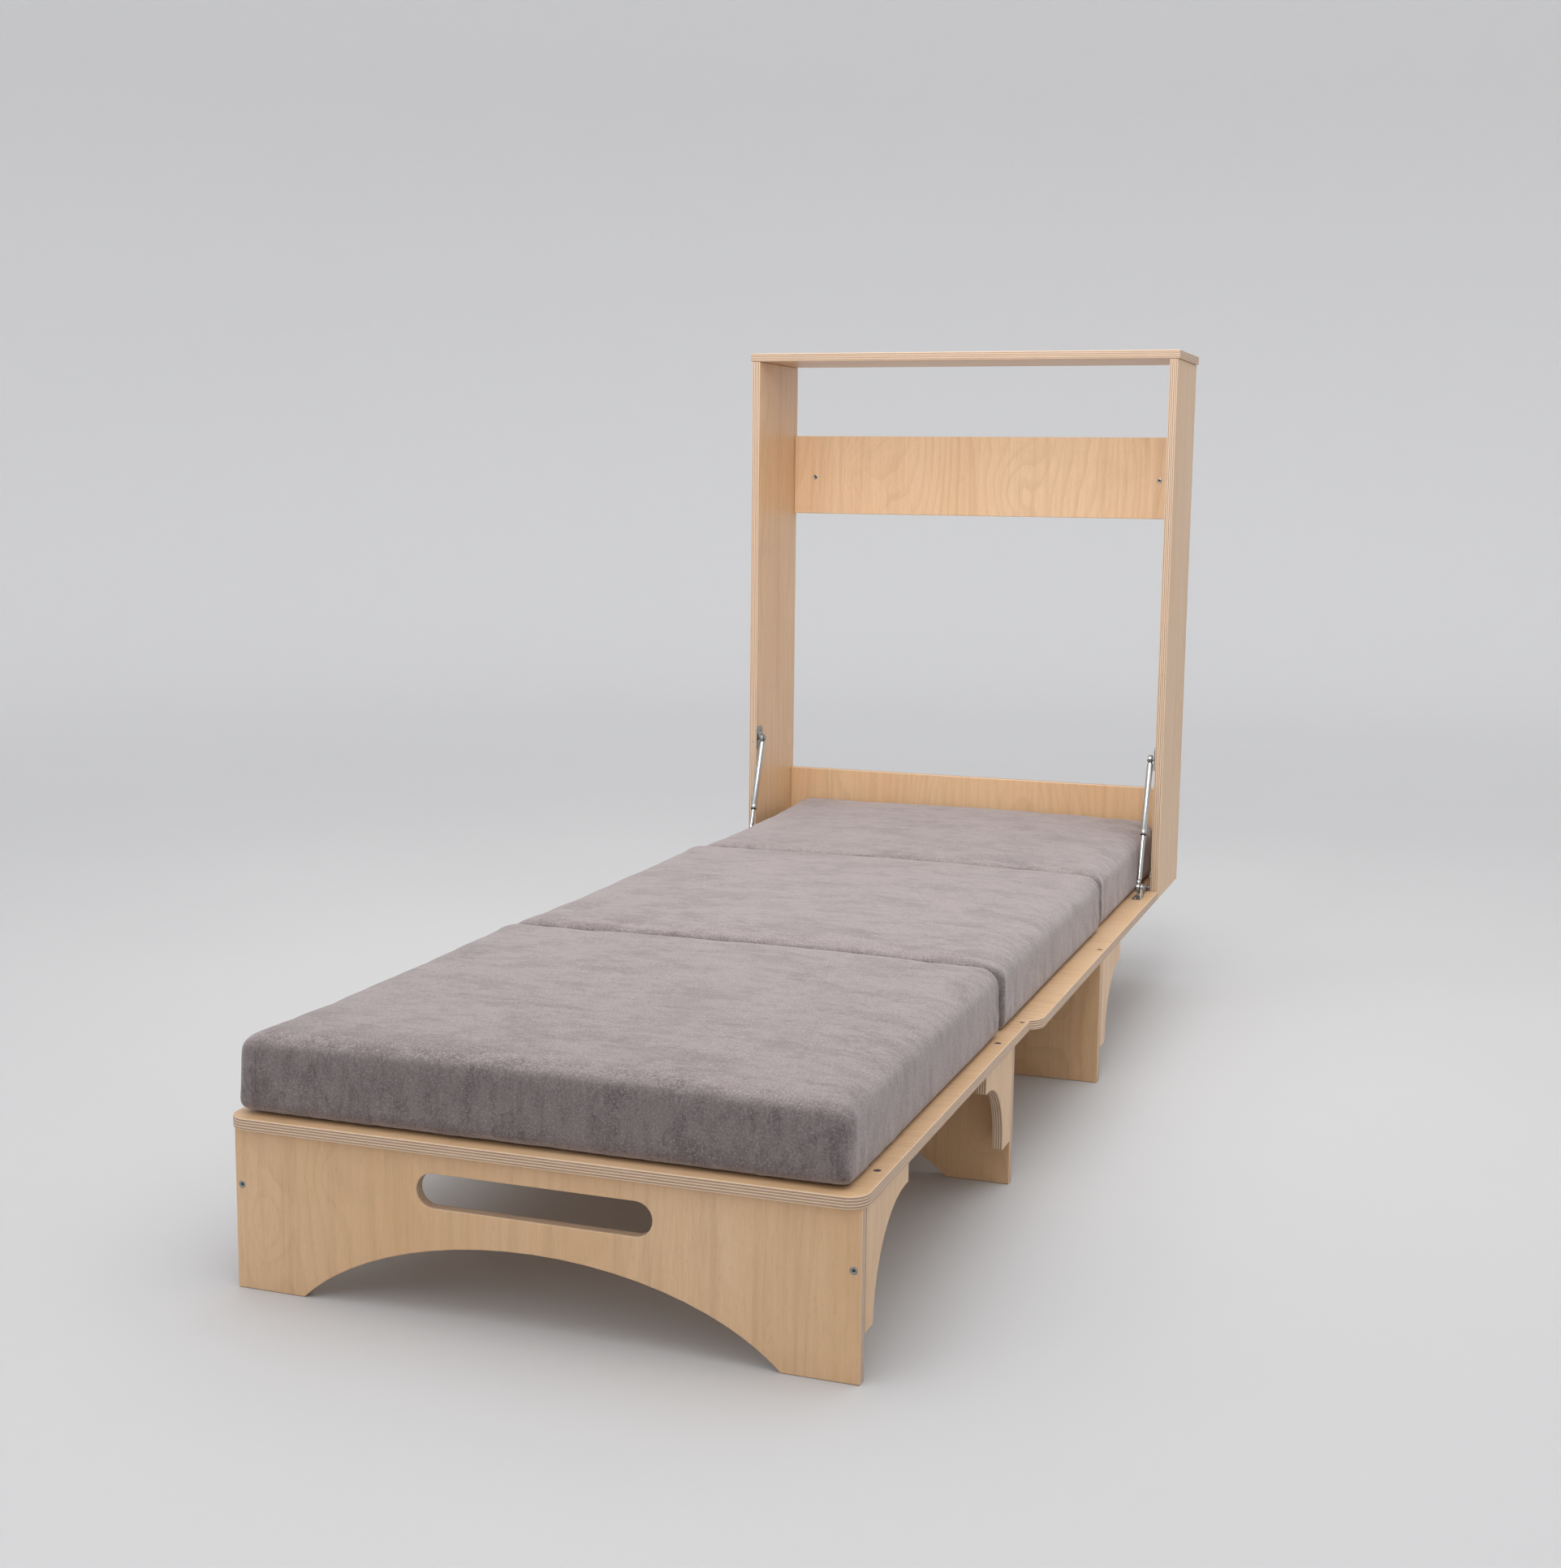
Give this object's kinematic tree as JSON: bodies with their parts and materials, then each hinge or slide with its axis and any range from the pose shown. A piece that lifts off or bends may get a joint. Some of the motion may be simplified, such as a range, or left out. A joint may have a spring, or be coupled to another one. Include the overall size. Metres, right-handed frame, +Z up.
{
  "type": "fold-down wall bed",
  "caption": "Single plywood wall bed: a hinged platform with telescopic struts folds up against a wall frame, with a loose arched bench and a sectional mattress.",
  "frame": {"origin": "on the floor, under the middle of the bed's overall length and width", "axes": "+X to the right seen from the foot end, +Y towards the wall, +Z up"},
  "size_m": [0.8234, 2.034, 1.208],
  "materials": {
    "birch_ply": "satin lacquered birch plywood with bare layered edges",
    "mattress_fabric": "taupe grey brushed velour",
    "strut_steel": "satin steel tube",
    "polished_rod": "polished chrome",
    "zinc_steel": "zinc plated fittings and screws",
    "seal_rubber": "black rubber wiper ring"
  },
  "bodies": {
    "wall_frame": {"hinge_pin_left": "zinc_steel", "hinge_pin_right": "zinc_steel", "hinge_plate_left": "zinc_steel", "hinge_plate_right": "zinc_steel", "lower_wall_rail": "birch_ply", "side_panel_left": "birch_ply", "side_panel_right": "birch_ply", "strut_bracket_upper_left": "zinc_steel", "strut_bracket_upper_right": "zinc_steel", "strut_pin_upper_left": "zinc_steel", "strut_pin_upper_right": "zinc_steel", "top_panel": "birch_ply", "upper_wall_rail": "birch_ply", "wall_screw_lower_left": "zinc_steel", "wall_screw_lower_right": "zinc_steel", "wall_screw_upper_left": "zinc_steel", "wall_screw_upper_right": "zinc_steel"},
    "platform": {"hinge_bracket_left": "zinc_steel", "hinge_bracket_right": "zinc_steel", "mattress_middle": "mattress_fabric", "mattress_rear": "mattress_fabric", "platform_panel": "birch_ply", "platform_screw_left": "zinc_steel", "platform_screw_right": "zinc_steel", "shelf_gusset_left": "birch_ply", "shelf_gusset_right": "birch_ply", "shelf_leg": "birch_ply", "strut_bracket_lower_left": "zinc_steel", "strut_bracket_lower_right": "zinc_steel", "strut_pin_lower_left": "zinc_steel", "strut_pin_lower_right": "zinc_steel"},
    "bench": {"bench_front_gusset_left": "birch_ply", "bench_front_gusset_right": "birch_ply", "bench_front_leg": "birch_ply", "bench_leg_screw_left": "zinc_steel", "bench_leg_screw_right": "zinc_steel", "bench_panel": "birch_ply", "bench_rear_gusset_left": "birch_ply", "bench_rear_gusset_right": "birch_ply", "bench_rear_leg": "birch_ply", "bench_screw_front_left": "zinc_steel", "bench_screw_front_right": "zinc_steel", "bench_screw_rear_left": "zinc_steel", "bench_screw_rear_right": "zinc_steel", "mattress_front": "mattress_fabric"},
    "strut_left": {"strut_head_left": "strut_steel", "strut_seal_left": "seal_rubber", "strut_tube_left": "strut_steel"},
    "strut_right": {"strut_head_right": "strut_steel", "strut_seal_right": "seal_rubber", "strut_tube_right": "strut_steel"},
    "rod_left": {"rod_end_left": "strut_steel", "strut_rod_left": "polished_rod"},
    "rod_right": {"rod_end_right": "strut_steel", "strut_rod_right": "polished_rod"}
  },
  "joints": [
    {"name": "platform_fold", "type": "hinge", "parent": "wall_frame", "child": "platform", "pos_m": [0, 0.796, 0.221], "axis": [-1, 0, 0], "range_deg": [0, 83]},
    {"name": "bench_pull_out", "type": "slide", "parent": "wall_frame", "child": "bench", "axis": [0, -1, 0], "range_m": [0, 0.45]},
    {"name": "strut_swing_left", "type": "hinge", "parent": "wall_frame", "child": "strut_left", "pos_m": [-0.3833, 0.801, 0.462], "axis": [1, 0, 0], "range_deg": [0, 19.88]},
    {"name": "rod_travel_left", "type": "slide", "parent": "strut_left", "child": "rod_left", "axis": [0, 0.3464, 0.9381], "range_m": [0, 0.08176]},
    {"name": "strut_swing_right", "type": "hinge", "parent": "wall_frame", "child": "strut_right", "pos_m": [0.3833, 0.801, 0.462], "axis": [1, 0, 0], "range_deg": [0, 19.88]},
    {"name": "rod_travel_right", "type": "slide", "parent": "strut_right", "child": "rod_right", "axis": [0, 0.3464, 0.9381], "range_m": [0, 0.08176]}
  ],
  "couplings": [
    {"joint": "strut_swing_left", "follows": "platform_fold", "ratio": 0.2389},
    {"joint": "rod_travel_left", "follows": "platform_fold", "m_per_rad": 0.056305},
    {"joint": "strut_swing_right", "follows": "platform_fold", "ratio": 0.2389},
    {"joint": "rod_travel_right", "follows": "platform_fold", "m_per_rad": 0.056305}
  ]
}
